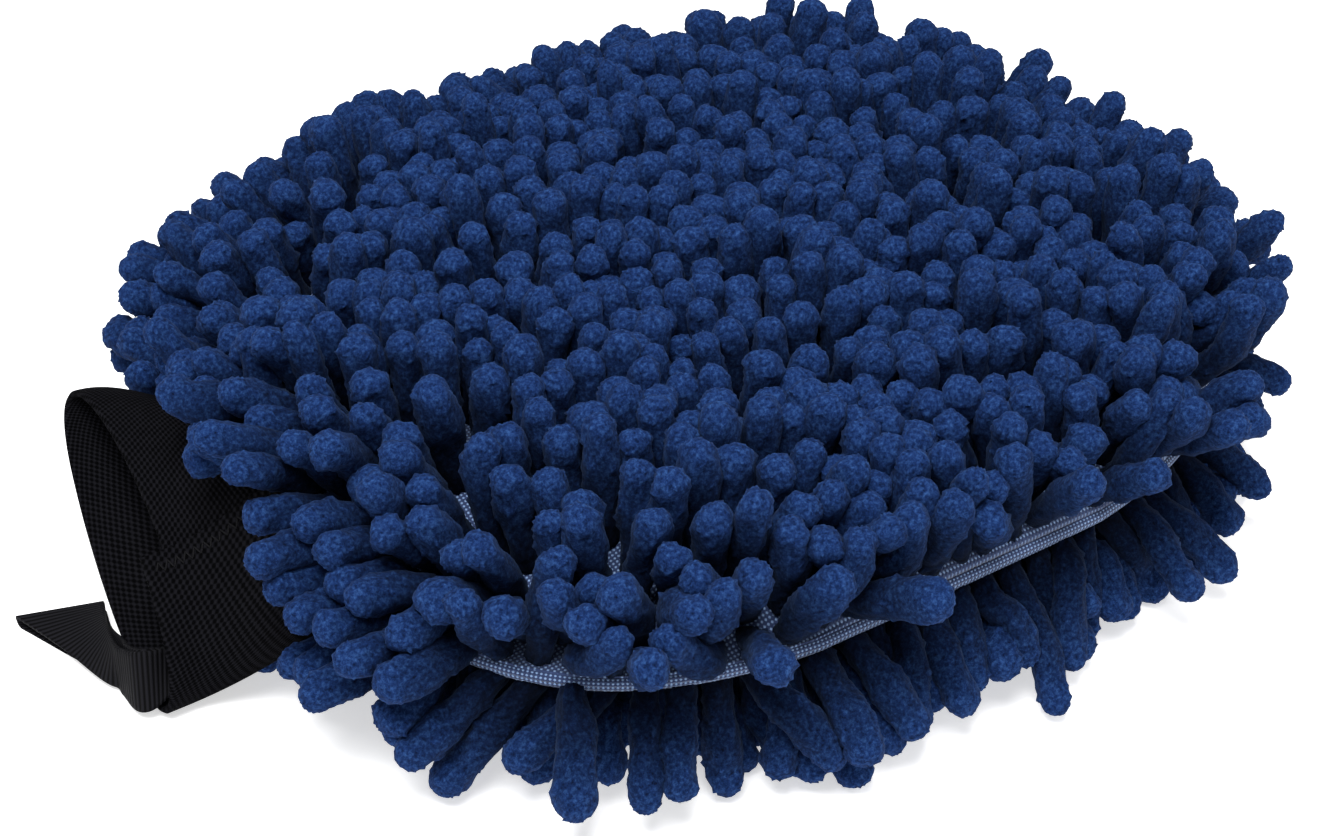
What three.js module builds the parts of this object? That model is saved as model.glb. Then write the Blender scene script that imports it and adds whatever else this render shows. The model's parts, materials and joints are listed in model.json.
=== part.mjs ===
// A chenille wash mitt lying empty on a table, in millimetres.
// +X runs from the cuff to the finger end, +Z is up, and the origin is on the table under the body's centre.
//
// Two faces of knitted ground fabric are sewn together round their edge. Each face carries rows of chenille
// noodles, and inside it lies a thin lining, so that the hand goes into a smooth pocket. A band of black
// knitted elastic is sewn to the pocket's mouth as a cuff, its ends lapped over each other. A folded tape
// sewn inside the cuff beside its near fold makes the hanging loop, which swings about its line of stitches.
import * as THREE from "three";
import { mergeVertices } from "three/addons/utils/BufferGeometryUtils.js";

// ---- Driving dimensions ----
const clearance = 0.3; // between pieces that lie on each other

const bodyLength = 204; // seam to seam, along X
const bodyWidth = 184; // seam to seam, along Y
const fingerRoundness = 2.5; // superellipse exponent of the outline past the centre, towards +X
const cuffEndRoundness = 3.2; // and towards -X
const sideCut = 0.985; // share of the half width at which the outline's flat sides are cut
const seamHeight = 26; // middle of the seam above the table
const topRise = 9; // crown of the upper ground fabric over the seam
const bottomSag = 6; // belly of the lower ground fabric under the seam
const mouthEase = 1; // how gently the ground fabric rises from the mouth's corners
const crownPower = 3.2; // how flat the crown is before it falls to the seam
const mouthBlendStart = 0.55; // share of the half length where the body starts to take the mouth's shape

const groundThickness = 1.2;
const liningThickness = 0.6;
const liningInset = 7; // from the seam outline to the lining's edge
const liningFullness = 0.6; // how far the lining follows the ground fabric's bulge
const seamThreadWidth = 2;
const seamThreadHeight = 2.2;
const seamThreadInset = 0.6; // from the seam outline to the thread
const seamMouthGap = 19; // from the mouth's corner to the thread's end, across the body

const rowCount = 23; // chenille rows on each face
const rowGap = 1.5; // free width between neighbouring rows
const footGap = 1.2; // from the ground fabric to the noodles' feet
const noodleLength = 24;
const rowEndShare = 0.968; // share of the half length covered by noodle feet
const topSplay = 2.5; // tangent of the noodles' lean at the upper face's edge
const bottomSplay = 2.1; // and at the lower face's edge
const splayPower = 4; // how late the lean sets in on the way to the edge
const edgeLift = 2; // how far the outermost lower noodles stay off the table
const edgeLiftPower = 12; // how late that lift sets in

const cuffFlatWidth = 70; // relaxed width of the cuff, folds included
const cuffOpening = 22; // height of the oval where the cuff is sewn on
const cuffMouthOpening = 16; // and at its open end
const cuffShear = 13; // how far the upper lip's edge lies behind the lower one's
const cuffLength = 29;
const cuffThickness = 1.7;
const cuffInnerEnd = 130; // degrees of the oval, from its far fold, at which the band's inner end lies
const cuffLapAngle = 27; // degrees of the oval where the band's ends lap
const cuffLapOffset = 5; // how far the outer end stands out of line with the inner one
const lapDriftStart = 180; // degrees of turn after which it moves out of line
const lapDriftSpan = 170; // and over which it does so
const cuffRoll = 26; // degrees by which the mouth has rolled towards the near side
const cuffYaw = 5; // degrees by which the mouth has turned
const cuffShift = 13; // sideways shift of the mouth's centre
const cuffDrop = 7.5; // and how far it hangs below the seam
const cuffThreadDiameter = 1;
const lapStitchHeight = 0.6;
const lapStitchWidth = 2;
const lapStitchInset = 5; // degrees from the outer end to the stitches
const lapStitchStart = 0.35; // shares of the cuff's length between which they run
const lapStitchEnd = 1.05;

const tapeThickness = 0.9;
const tapeWidth = 14;
const loopReach = 38; // from the hinge line to the fold
const loopClear = 1.5; // how far the fold lies outwards of the hinge line, beside the tape's own lean
const loopFoldGap = 1.6; // between the two layers at the fold
const loopRootGap = 0.5; // and at the stitches
const loopTwist = 86; // degrees, from standing on edge to lying flat
const tableGap = 0.4; // between the tape's lower edge and the table
const sewnEndLength = 12; // tape from the hinge line to its end inside the cuff
const hingeOut = 4; // hinge line outwards of the cuff's near corner
const hingeGap = 0.8; // from the hinge line to the tape on each side
const tapeLowAngle = 176; // degrees of the oval at which the tape's lower edge is sewn
const tackStart = 0.74; // shares of the sewn end, from the hinge inwards, between which the bar tack lies
const tackEnd = 0.9;
const tackMargin = 0.15; // share of the tape's width left free at each end of the bar tack
const tackHeight = 0.6;
const loopBend = 0.3; // share of the reach over which the loop turns across the mouth
const loopStart = 0.4; // share of the hinge gap that the loop keeps behind the hinge line
const twistStart = 0.1; // share of the loop's course at which it starts to twist
const twistSpan = 0.8; // and over which it does so
const foldShare = 0.12; // share of the loop's stations that the fold takes

// ---- Triangle budget ----
const rowStations = 10;
const cuffStations = 4;
const cuffSectors = 46;
const seamStations = 44;
const loopStations = 25;
const loopStrips = 3;
const sewnStations = 6;
const sewnStrips = 4;
const threadSides = 4;

// ---- Materials ----
function fabric(color, roughness = 0.95) {
  return new THREE.MeshStandardMaterial({ color, roughness, metalness: 0 });
}

const materials = {
  chenille: fabric("#27457f"),
  ground: fabric("#7d9cc4"),
  lining: fabric("#3c4a66"),
  elastic: fabric("#17171a"),
  tape: fabric("#1d1d20", 0.85),
  thread: fabric("#8fa9cb"),
  blackThread: fabric("#202024"),
};

// ---- Small helpers ----
const radians = THREE.MathUtils.degToRad;
const mix = THREE.MathUtils.lerp;
const smooth = (t) => THREE.MathUtils.smoothstep(t, 0, 1);
const signedPower = (t, power) => Math.sign(t) * Math.abs(t) ** power;

const mitt = new THREE.Group();

function addPiece(name, geometry, material, parent = mitt) {
  const mesh = new THREE.Mesh(geometry, material);
  mesh.name = name;
  parent.add(mesh);
  return mesh;
}

// Moves every vertex of a geometry to place(vertex), then merges the seams between its faces.
function bend(geometry, place) {
  geometry.deleteAttribute("normal");
  geometry.deleteAttribute("uv");
  const points = geometry.getAttribute("position");
  const vertex = new THREE.Vector3();
  for (let i = 0; i < points.count; i++) {
    const moved = place(vertex.fromBufferAttribute(points, i));
    points.setXYZ(i, moved.x, moved.y, moved.z);
  }
  const merged = mergeVertices(geometry, 1e-4);
  merged.computeVertexNormals();
  return merged;
}

// A unit box cut into cells and bent: place(u, v, t) takes each coordinate from 0 to 1.
function bentBox(alongU, alongV, alongT, place) {
  const box = new THREE.BoxGeometry(1, 1, 1, alongU, alongV, alongT);
  return bend(box, (p) => place(p.x + 0.5, p.y + 0.5, p.z + 0.5));
}

// ---- Body outline and crown ----
const halfLength = bodyLength / 2;
const halfWidth = bodyWidth / 2;
const cutWidth = halfWidth * sideCut;
const cuffHalfWidth = cuffFlatWidth / 2;

// Half length of the body at a given y, on the finger side or the cuff side.
function reachAt(y, side) {
  const roundness = side > 0 ? fingerRoundness : cuffEndRoundness;
  return halfLength * (1 - Math.abs(y / halfWidth) ** roundness) ** (1 / roundness);
}

// Stations along a row, closer together where the crown falls to the seam.
const station = (u) => Math.sin((u - 0.5) * Math.PI);

// x of a point at share s, from -1 at the cuff end to 1 at the finger end, of the row at y.
const rowX = (s, y) => s * reachAt(y, s);

// 1 on the flat of the body, falling to 0 all along the seam.
function crown(s, y) {
  const across = Math.abs(y) / cutWidth;
  return Math.sqrt(Math.max(0, (1 - Math.abs(s) ** crownPower) * (1 - across ** crownPower)));
}

// Half height of the oval mouth at y, and how far its shape has taken over at share s.
const mouthArc = (y) => (cuffOpening / 2) * Math.max(0, 1 - (y / cuffHalfWidth) ** 2) ** mouthEase;
const mouthShare = (s) => smooth((-s - mouthBlendStart) / (1 - mouthBlendStart));

// Half of the seam's stack: lining, thread and the gaps between them.
const seamHalfGap = (seamThreadHeight + 2 * clearance) / 2;

// Height of the pocket side of a face's ground fabric, with side 1 for the upper face and -1 for the lower.
function groundInside(s, y, side) {
  const bulge = (side > 0 ? topRise : bottomSag) * crown(s, y);
  const share = mouthShare(s);
  const inside = mix(bulge, mouthArc(y), share);
  return seamHeight + side * (seamHalfGap + inside);
}

function groundFabric(side) {
  return bentBox(rowStations, rowCount, 1, (u, v, t) => {
    const s = station(u);
    const y = (2 * v - 1) * cutWidth;
    const low = groundInside(s, y, side) - (side < 0 ? groundThickness : 0);
    return new THREE.Vector3(rowX(s, y), y, low + t * groundThickness);
  });
}

addPiece("top_ground_fabric", groundFabric(1), materials.ground);
addPiece("bottom_ground_fabric", groundFabric(-1), materials.ground);

// ---- Lining ----
function lining(side) {
  const lengthShare = 1 - liningInset / halfLength;
  const widthShare = 1 - liningInset / halfWidth;
  return bentBox(rowStations, rowCount, 1, (u, v, t) => {
    const fullY = (2 * v - 1) * cutWidth;
    const x = rowX(station(u), fullY) * lengthShare;
    const y = fullY * widthShare;
    const s = x / reachAt(y, x);
    const bulge = Math.abs(groundInside(s, y, side) - seamHeight) - seamHalfGap;
    const inside = clearance / 2 + bulge * liningFullness;
    const low = side > 0 ? inside : -inside - liningThickness;
    return new THREE.Vector3(x, y, seamHeight + low + t * liningThickness);
  });
}

addPiece("top_lining", lining(1), materials.lining);
addPiece("bottom_lining", lining(-1), materials.lining);

// ---- Seam thread ----
// It lies between the two ground fabrics' edges, from one side of the mouth round the finger end.
const threadEndShare = (cuffHalfWidth + seamMouthGap) / halfWidth;
const mouthCorner = Math.asin(threadEndShare ** (cuffEndRoundness / 2)); // angle left free beside the mouth

function seamPoint(turn, inward) {
  const angle = mix(-1, 1, turn) * (Math.PI - mouthCorner);
  const c = Math.cos(angle);
  const s = Math.sin(angle);
  const power = 2 / (c > 0 ? fingerRoundness : cuffEndRoundness);
  const x = (halfLength - inward) * signedPower(c, power);
  const y = (halfWidth - inward) * signedPower(s, power);
  return [x, THREE.MathUtils.clamp(y, -cutWidth + inward, cutWidth - inward)];
}

const seamThread = bentBox(seamStations, 1, 1, (u, v, t) => {
  const [x, y] = seamPoint(u, seamThreadInset + v * seamThreadWidth);
  return new THREE.Vector3(x, y, seamHeight + (t - 0.5) * seamThreadHeight);
});
addPiece("seam_thread", seamThread, materials.thread);

// ---- Chenille rows ----
// Each row is one chenille yarn, its noodles side by side. Their feet stand on the ground fabric and their
// tips lean outwards more and more towards the seam.
const rowPitch = (2 * cutWidth) / rowCount;

function noodleLean(s, y, side) {
  const splay = side > 0 ? topSplay : bottomSplay;
  const across = y / cutWidth;
  const outX = splay * signedPower(s, splayPower);
  const outY = splay * signedPower(across, splayPower);
  return new THREE.Vector3(outX, outY, side).normalize();
}

function chenilleRow(index, side) {
  const middle = (index - (rowCount - 1) / 2) * rowPitch;
  const width = rowPitch - rowGap;
  return bentBox(rowStations, 1, 1, (u, v, t) => {
    const s = THREE.MathUtils.clamp(station(u), -rowEndShare, rowEndShare);
    const y = middle + (v - 0.5) * width;
    const lean = noodleLean(s, y, side);
    const outside = groundInside(s, y, side) + side * (groundThickness + footGap);
    const foot = new THREE.Vector3(rowX(s, y), y, outside);
    const share = side > 0 ? t : 1 - t;
    const tip = foot.clone().addScaledVector(lean, noodleLength);
    const edge = Math.max(Math.abs(s), Math.abs(y) / cutWidth) ** edgeLiftPower;
    tip.z = Math.max(tip.z, edgeLift * edge);
    return foot.lerp(tip, share);
  });
}

for (const [face, side] of [["top", 1], ["bottom", -1]]) {
  for (let index = 0; index < rowCount; index++) {
    const number = String(index + 1).padStart(2, "0");
    addPiece(`${face}_chenille_row_${number}`, chenilleRow(index, side), materials.chenille);
  }
}

// ---- Cuff ----
// The band's middle line leaves the mouth level and square, then rolls, turns and drops towards its end.
function cuffFrame(along) {
  const share = smooth(along);
  const roll = radians(cuffRoll) * share;
  const yaw = radians(cuffYaw) * share;
  const level = new THREE.Vector3(Math.sin(yaw), Math.cos(yaw), 0);
  const up = new THREE.Vector3(0, 0, 1);
  const wide = level.clone().multiplyScalar(Math.cos(roll)).addScaledVector(up, Math.sin(roll));
  const high = level.clone().multiplyScalar(-Math.sin(roll)).addScaledVector(up, Math.cos(roll));
  const out = new THREE.Vector3(-Math.cos(yaw), Math.sin(yaw), 0);
  const centre = new THREE.Vector3(
    -halfLength - clearance - cuffLength * along,
    cuffShift * share,
    seamHeight - cuffDrop * share,
  );
  return { centre, wide, high, out };
}

// A point of the oval, at an angle in degrees from its far fold, lift millimetres out of the band's middle.
function cuffPoint(angle, along, lift) {
  const { centre, wide, high } = cuffFrame(along);
  const share = smooth(along);
  const halfHeight = mix(cuffOpening, cuffMouthOpening, share) / 2;
  const turn = radians(angle);
  centre.x += (cuffShear / 2) * share * Math.sin(turn);
  return centre
    .addScaledVector(wide, (cuffHalfWidth + lift) * Math.cos(turn))
    .addScaledVector(high, (halfHeight + lift) * Math.sin(turn));
}

const cuffTurn = 360 + cuffLapAngle;

// How far the band has climbed onto its own inner end, and stands out of line, after so many degrees.
const lapClimb = (turned) => smooth((turned - (360 - 2 * cuffLapAngle)) / (2 * cuffLapAngle));
const lapStep = (turned) => (cuffLapOffset / cuffLength) * smooth((turned - lapDriftStart) / lapDriftSpan);

const cuffBand = bentBox(cuffSectors, cuffStations, 1, (u, v, t) => {
  const turned = u * cuffTurn;
  const lift = lapClimb(turned) * (cuffThickness + clearance) + (t - 0.5) * cuffThickness;
  return cuffPoint(cuffInnerEnd - turned, v * (1 + lapStep(turned)), lift);
});
addPiece("cuff_band", cuffBand, materials.elastic);

// A row of stitches holds the outer end down on the inner one.
const lapStitches = bentBox(1, cuffStations, 1, (u, v, t) => {
  const turned = cuffTurn - lapStitchInset + (u * lapStitchWidth * 360) / (Math.PI * cuffFlatWidth);
  const lift = 1.5 * cuffThickness + 4 * clearance + t * lapStitchHeight;
  return cuffPoint(cuffInnerEnd - turned, mix(lapStitchStart, lapStitchEnd, v), lift);
});
addPiece("cuff_lap_stitches", lapStitches, materials.blackThread);

// The thread that joins cuff and mouth runs round inside the joint.
const ringTube = 0.1; // tube radius of a ring of radius 1, scaled to the thread as it is bent
const cuffThreadRing = new THREE.TorusGeometry(1, ringTube, threadSides, cuffSectors);
const cuffSeamThread = bend(cuffThreadRing, (p) => {
  const angle = THREE.MathUtils.radToDeg(Math.atan2(p.y, p.x));
  const scale = cuffThreadDiameter / (2 * ringTube);
  const middle = -(cuffThickness / 2 + 2 * clearance + cuffThreadDiameter / 2);
  const lift = middle + (Math.hypot(p.x, p.y) - 1) * scale;
  return cuffPoint(angle, (cuffThreadDiameter - p.z * scale) / cuffLength, lift);
});
addPiece("cuff_seam_thread", cuffSeamThread, materials.blackThread);

// ---- Hanging loop ----
// The tape's two layers are sewn to the inside of the upper lip beside the near fold. They leave the mouth
// standing on edge, turn across in front of it and twist until the fold lies nearly flat on the table.
const tapeStack = 2 * tapeThickness + loopRootGap;
const ovalRadius = (cuffHalfWidth + cuffMouthOpening / 2) / 2;
const tapeAngle = THREE.MathUtils.radToDeg(tapeWidth / 2 / ovalRadius); // from the tape's middle to its edge
const loopAngle = tapeLowAngle - tapeAngle; // middle of the tape on the oval
const tapeLift = -(cuffThickness / 2 + 3 * clearance + tapeStack / 2);
const nearCorner = cuffPoint(180, 1 + cuffLapOffset / cuffLength, 0);
const hinge = new THREE.Vector3(
  nearCorner.x - hingeOut,
  nearCorner.y + tapeStack,
  tapeWidth / 2 + tableGap,
);

// A point of the sewn end: u from the hinge line inwards, v up the tape's width, lift outwards.
function sewnPoint(u, v, lift) {
  const inward = mix(hingeGap, sewnEndLength, u);
  const line = hinge.clone().add(new THREE.Vector3(inward, -lift, (v - 0.5) * tapeWidth));
  const along = 1 - (inward - hingeOut - cuffLapOffset) / cuffLength;
  const wall = cuffPoint(loopAngle + (1 - 2 * v) * tapeAngle, along, tapeLift + lift);
  return line.lerp(wall, smooth((inward - hingeGap) / (hingeOut - hingeGap)));
}

const sewnEnd = bentBox(sewnStations, sewnStrips, 1, (u, v, t) => sewnPoint(u, v, (t - 0.5) * tapeStack));
addPiece("hanging_loop_sewn_end", sewnEnd, materials.tape);

// The bar tack's stitches lie over the sewn end.
const barTack = bentBox(1, sewnStrips, 1, (u, v, t) => {
  const lift = -(tapeStack / 2 + clearance + (1 - t) * tackHeight);
  return sewnPoint(mix(tackStart, tackEnd, u), mix(tackMargin, 1 - tackMargin, v), lift);
});
addPiece("loop_bar_tack", barTack, materials.blackThread);

// A wider tape leans further back over the cuff's lip, so its fold moves out with its width.
const loopDrift = loopClear + tapeWidth / 4;

// Middle line of the free loop, with the tangent and the tape's width and outward directions there.
const loopCourse = new THREE.QuadraticBezierCurve(
  new THREE.Vector2(hinge.x - hingeGap * loopStart, hinge.y + hingeGap + tapeStack / 2),
  new THREE.Vector2(hinge.x - loopDrift, hinge.y + loopReach * loopBend),
  new THREE.Vector2(hinge.x - loopDrift, hinge.y + loopReach),
);

const loopHalfGap = (s) => mix(loopRootGap, loopFoldGap, smooth(s)) / 2;

function loopFrame(s) {
  const point = loopCourse.getPoint(s);
  const heading = loopCourse.getTangent(s);
  const twist = radians(loopTwist) * smooth((s - twistStart) / twistSpan);
  const tangent = new THREE.Vector3(heading.x, heading.y, 0);
  const side = new THREE.Vector3(heading.y, -heading.x, 0);
  const wide = side.clone().multiplyScalar(Math.sin(twist));
  wide.z = Math.cos(twist);
  const outward = tangent.clone().cross(wide);
  const halfStack = tapeThickness + loopHalfGap(s);
  const height = (tapeWidth / 2) * Math.cos(twist) + halfStack * Math.sin(twist) + tableGap;
  return { centre: new THREE.Vector3(point.x, point.y, height), tangent, wide, outward };
}

// u runs out along one layer, round the fold and back along the other.
const freeLoop = bentBox(loopStations, loopStrips, 1, (u, v, t) => {
  const outShare = (1 - foldShare) / 2;
  const s = Math.min(1, Math.min(u, 1 - u) / outShare);
  const turn = THREE.MathUtils.clamp((u - outShare) / foldShare, 0, 1) * Math.PI;
  const { centre, tangent, wide, outward } = loopFrame(s);
  const radius = loopHalfGap(s) + t * tapeThickness;
  return centre
    .addScaledVector(wide, (v - 0.5) * tapeWidth)
    .addScaledVector(tangent, radius * Math.sin(turn))
    .addScaledVector(outward, radius * Math.cos(turn));
});
addPiece("hanging_loop", freeLoop, materials.tape);

export default mitt;
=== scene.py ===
# An empty chenille wash mitt with an elastic cuff and a hanging loop, lying on a pale table.
# Lengths are in metres. +X runs from the cuff to the finger end, +Z is up and the table is at 0.
import json
import math

import bpy
import numpy as np
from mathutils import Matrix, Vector
from mathutils.kdtree import KDTree


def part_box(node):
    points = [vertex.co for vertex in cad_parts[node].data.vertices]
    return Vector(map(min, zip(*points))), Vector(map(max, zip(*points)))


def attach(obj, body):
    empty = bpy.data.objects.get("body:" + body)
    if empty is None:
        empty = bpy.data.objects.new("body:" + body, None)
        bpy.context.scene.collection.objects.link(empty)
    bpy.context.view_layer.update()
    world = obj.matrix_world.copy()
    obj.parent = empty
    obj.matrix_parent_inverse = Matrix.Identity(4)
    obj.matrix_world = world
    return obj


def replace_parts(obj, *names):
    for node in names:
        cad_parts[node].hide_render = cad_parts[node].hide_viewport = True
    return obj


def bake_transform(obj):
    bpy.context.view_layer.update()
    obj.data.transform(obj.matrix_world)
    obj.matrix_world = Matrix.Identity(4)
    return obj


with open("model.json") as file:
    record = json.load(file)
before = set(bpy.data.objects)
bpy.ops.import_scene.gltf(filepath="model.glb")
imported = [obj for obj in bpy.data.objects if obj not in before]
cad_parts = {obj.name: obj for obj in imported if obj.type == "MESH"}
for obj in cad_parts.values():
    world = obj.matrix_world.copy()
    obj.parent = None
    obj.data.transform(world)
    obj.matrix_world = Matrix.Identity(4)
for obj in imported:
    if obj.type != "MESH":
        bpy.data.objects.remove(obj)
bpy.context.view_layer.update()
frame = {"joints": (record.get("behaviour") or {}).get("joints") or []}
mm = 0.001


def say(text):
    print("[mitt]", text, flush=True)


# An sRGB hex colour as linear light.
def linear(hexColour):
    channels = [int(hexColour[i:i + 2], 16) / 255 for i in (1, 3, 5)]
    lin = [c / 12.92 if c <= 0.04045 else ((c + 0.055) / 1.055) ** 2.4 for c in channels]
    return (*lin, 1.0)


def newMaterial(name):
    material = bpy.data.materials.new(name)
    material.use_nodes = True
    tree = material.node_tree
    shader = tree.nodes["Principled BSDF"]
    return material, tree, shader


# Adds one node with its settings, the values and links of its inputs and, on a colour ramp, its stops.
def addNode(tree, kind, settings=None, values=None, links=None, stops=()):
    node = tree.nodes.new(kind)
    for key, value in (settings or {}).items():
        setattr(node, key, value)
    for key, value in (values or {}).items():
        node.inputs[key].default_value = value
    for key, socket in (links or {}).items():
        tree.links.new(socket, node.inputs[key])
    if stops:
        elements = node.color_ramp.elements
        while len(elements) < len(stops):
            elements.new(0.5)
        for element, (place, colour) in zip(elements, stops):
            element.position = place
            element.color = colour
    return node


# Gives a shader its colour, its bump and the even settings that its look names.
def finishShader(tree, shader, look, colour, height):
    bump = addNode(tree, "ShaderNodeBump", {}, {"Strength": look["bump"], "Distance": look["bumpHeight"]},
                   {"Height": height})
    tree.links.new(bump.outputs["Normal"], shader.inputs["Normal"])
    if isinstance(colour, tuple):
        shader.inputs["Base Color"].default_value = colour
    else:
        tree.links.new(colour, shader.inputs["Base Color"])
    sockets = {"roughness": "Roughness", "specular": "Specular IOR Level", "sheen": "Sheen Weight",
               "sheenRoughness": "Sheen Roughness"}
    for key, socket in sockets.items():
        if key in look:
            shader.inputs[socket].default_value = look[key]


chenilleLook = {
    # deep, body and tip colour the grain; the same noise raises the bump, so deep is painted shade in its
    # hollows and tip painted light on its crests
    "deep": "#040b1e",
    "body": "#152a56",
    "tip": "#2d4d80",
    "grain": 0.85 * mm,  # tufts of pile; single fibres are far finer and would not show
    "grainDetail": 5.0,
    "grainRoughness": 0.75,
    "grainStops": (0.3, 0.5, 0.7),
    # painted shade along each noodle: the ramp is darkest at the root, where the noodles shade each other, and
    # full at the head
    "paintedRootShade": ((0.0, 0.05), (0.45, 0.3), (0.75, 0.62), (0.97, 1.0)),  # share along a noodle and its lightness
    "bump": 0.6,
    "bumpHeight": 0.25 * mm,
    "roughness": 1.0,
    "specular": 0.06,
    "sheen": 0.05,
    "sheenRoughness": 0.45,
    "sheenTint": "#8fb0e8",
}


# Split-microfibre chenille, cut pile all round a twisted core: matt, with painted shade in the gaps of its
# grain and painted light on the tuft ends, and with painted shade making it much darker down between the
# noodles than at their heads.
def makeChenille():
    look = chenilleLook
    material, tree, shader = newMaterial("microfibreChenille")
    place = addNode(tree, "ShaderNodeTexCoord").outputs["Object"]
    grain = addNode(tree, "ShaderNodeTexNoise", {"noise_dimensions": "3D"},
                    {"Scale": 1 / look["grain"], "Detail": look["grainDetail"],
                     "Roughness": look["grainRoughness"]}, {"Vector": place})
    pile = addNode(tree, "ShaderNodeAttribute", {"attribute_name": "pile"})
    colours = [linear(look[key]) for key in ("deep", "body", "tip")]
    # Painted shade and light: the grain noise that makes the bump also darkens its hollows and lightens its
    # crests.
    fibre = addNode(tree, "ShaderNodeValToRGB", links={"Fac": grain.outputs["Fac"]},
                    stops=list(zip(look["grainStops"], colours)))
    # Painted shade: the colour darkens from a noodle's head down to its root, between the noodles.
    depth = addNode(tree, "ShaderNodeValToRGB", links={"Fac": pile.outputs["Fac"]},
                    stops=[(share, (light, light, light, 1.0)) for share, light in look["paintedRootShade"]])
    shaded = addNode(tree, "ShaderNodeMix", {"data_type": "RGBA", "blend_type": "MULTIPLY"},
                     {"Factor": 1.0}, {"A": fibre.outputs["Color"], "B": depth.outputs["Color"]})
    finishShader(tree, shader, look, shaded.outputs["Result"], grain.outputs["Fac"])
    shader.inputs["Sheen Tint"].default_value = linear(look["sheenTint"])
    return material


# The "weave" attribute as separate sockets: distances along and across a cloth, in metres.
def weavePlaces(tree):
    weave = addNode(tree, "ShaderNodeAttribute", {"attribute_name": "weave"})
    return addNode(tree, "ShaderNodeSeparateXYZ", links={"Vector": weave.outputs["Vector"]}).outputs


# Even waves over a distance, one for each pitch.
def addWaves(tree, distance, pitch):
    turns = addNode(tree, "ShaderNodeMath", {"operation": "MULTIPLY"}, {1: 2 * math.pi / pitch},
                    {0: distance})
    return addNode(tree, "ShaderNodeMath", {"operation": "SINE"}, links={0: turns.outputs[0]}).outputs[0]


groundLook = {
    "yarn": "#7f9cc8",
    "hole": "#1a2f5a",
    "pitch": 1.2 * mm,  # from yarn to yarn
    "slant": 1.4,  # a step of one pitch along the diagonal, counted in both directions together
    "stops": (0.55, 0.88),
    "bump": 0.7,
    "bumpHeight": 0.2 * mm,
    "roughness": 0.8,
    "sheen": 0.2,
}


# Polyester net, warp knitted: pale yarns crossing on the slant, with darker eyes between them.
def makeGround():
    look = groundLook
    material, tree, shader = newMaterial("polyesterNetKnit")
    weave = weavePlaces(tree)
    pair = {0: weave["X"], 1: weave["Y"]}
    along = addNode(tree, "ShaderNodeMath", {"operation": "ADD"}, links=pair).outputs[0]
    across = addNode(tree, "ShaderNodeMath", {"operation": "SUBTRACT"}, links=pair).outputs[0]
    step = look["slant"] * look["pitch"]
    yarns = addNode(tree, "ShaderNodeMath", {"operation": "MULTIPLY"},
                    links={0: addWaves(tree, along, step), 1: addWaves(tree, across, step)}).outputs[0]
    level = addNode(tree, "ShaderNodeMath", {"operation": "MULTIPLY_ADD"}, {1: 0.5, 2: 0.5}, {0: yarns})
    colour = addNode(tree, "ShaderNodeValToRGB", links={"Fac": level.outputs[0]},
                     stops=list(zip(look["stops"], (linear(look["hole"]), linear(look["yarn"])))))
    height = addNode(tree, "ShaderNodeMath", {"operation": "ABSOLUTE"}, links={0: yarns})
    finishShader(tree, shader, look, colour.outputs["Color"], height.outputs[0])
    return material


elasticLook = {
    "raisedPaintedLight": "#141418",
    "sunkPaintedShade": "#030304",
    "course": 1.3 * mm,  # rows and columns of bumps, a little coarser than the real ones so that they show
    "wale": 1.7 * mm,
    "slant": 0.5,
    "wander": 2.5 * mm,  # size of the unevenness laid over the bumps
    "wanderShare": 0.5,
    "level": 0.37,
    "stops": (0.3, 0.75),
    "bump": 1.0,
    "bumpHeight": 0.35 * mm,
    "roughness": 0.85,
    "specular": 0.02,
}


# Elastic knitted over rubber threads: matt black, with rows of small slanting bumps, their tops lightened as
# painted light and the hollows between them darkened as painted shade.
def makeElastic():
    look = elasticLook
    material, tree, shader = newMaterial("knittedElastic")
    weave = weavePlaces(tree)
    lean = addNode(tree, "ShaderNodeMath", {"operation": "MULTIPLY_ADD"}, {1: look["slant"]},
                   {0: weave["X"], 2: weave["Y"]})
    slant = addNode(tree, "ShaderNodeMath", {"operation": "MULTIPLY_ADD"}, {1: -look["slant"]},
                    {0: weave["Y"], 2: weave["X"]})
    rows = addWaves(tree, lean.outputs[0], look["course"])
    columns = addWaves(tree, slant.outputs[0], look["wale"])
    place = addNode(tree, "ShaderNodeTexCoord").outputs["Object"]
    wander = addNode(tree, "ShaderNodeTexNoise", {}, {"Scale": 1 / look["wander"], "Detail": 1.0},
                     {"Vector": place})
    knit = addNode(tree, "ShaderNodeMath", {"operation": "MULTIPLY"}, links={0: rows, 1: columns})
    bumps = addNode(tree, "ShaderNodeMath", {"operation": "MULTIPLY_ADD"}, {1: look["wanderShare"]},
                    {0: wander.outputs["Fac"], 2: knit.outputs[0]})
    height = addNode(tree, "ShaderNodeMath", {"operation": "MULTIPLY_ADD"}, {1: 0.5, 2: look["level"]},
                     {0: bumps.outputs[0]})
    # Painted light and shade: the colour follows the bump height, lighter on top and darker in the hollows.
    colour = addNode(tree, "ShaderNodeValToRGB", links={"Fac": height.outputs[0]},
                     stops=list(zip(look["stops"], (linear(look["sunkPaintedShade"]), linear(look["raisedPaintedLight"])))))
    finishShader(tree, shader, look, colour.outputs["Color"], height.outputs[0])
    return material


tapeLook = {
    "ridgePaintedLight": "#18181c",
    "groovePaintedShade": "#050506",
    "rib": 1.0 * mm,
    "stops": (0.1, 0.8),
    "bump": 0.6,
    "bumpHeight": 0.2 * mm,
    "roughness": 0.75,
    "specular": 0.04,
}


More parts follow.
